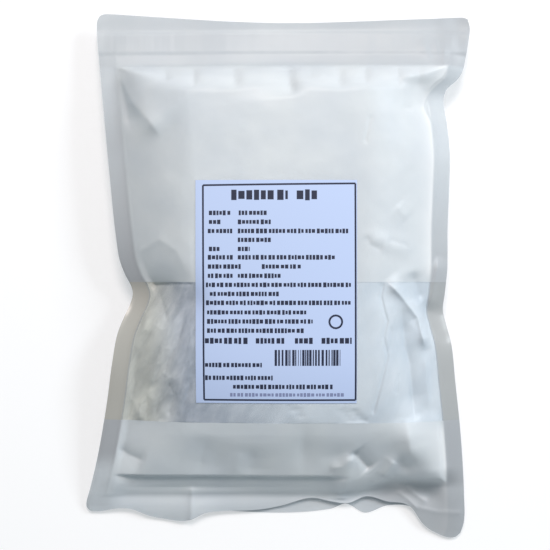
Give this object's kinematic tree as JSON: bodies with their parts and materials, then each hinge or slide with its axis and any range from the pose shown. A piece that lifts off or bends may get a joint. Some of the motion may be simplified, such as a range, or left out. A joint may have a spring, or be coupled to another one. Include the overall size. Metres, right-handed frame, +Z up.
{
  "type": "bag of tapioca starch",
  "caption": "Stand-up pouch of frosted film filled with white starch, lying on its back, with a zip header, side seals, a clear window band and a printed paper label.",
  "frame": {"origin": "on the surface the bag lies on, under the middle of the bag", "axes": "+Y from the bottom flange to the zip and top edge, +Z up out of the labelled front, +X to the label's right"},
  "size_m": [0.2265, 0.3094, 0.0482],
  "materials": {
    "film": "frosted milky polyethylene laminate, soft sheen",
    "window": "clear polyethylene band, glossy and slightly crinkled",
    "zip": "extruded translucent polyethylene closure",
    "label_paper": "pale lavender-blue coated paper, smooth and matte",
    "ink": "flat blue-black printing ink",
    "starch": "fine matte white powder"
  },
  "bodies": {
    "root": {"pouch": "film", "zip_strip": "zip", "label": "label_paper"}
  },
  "joints": []
}
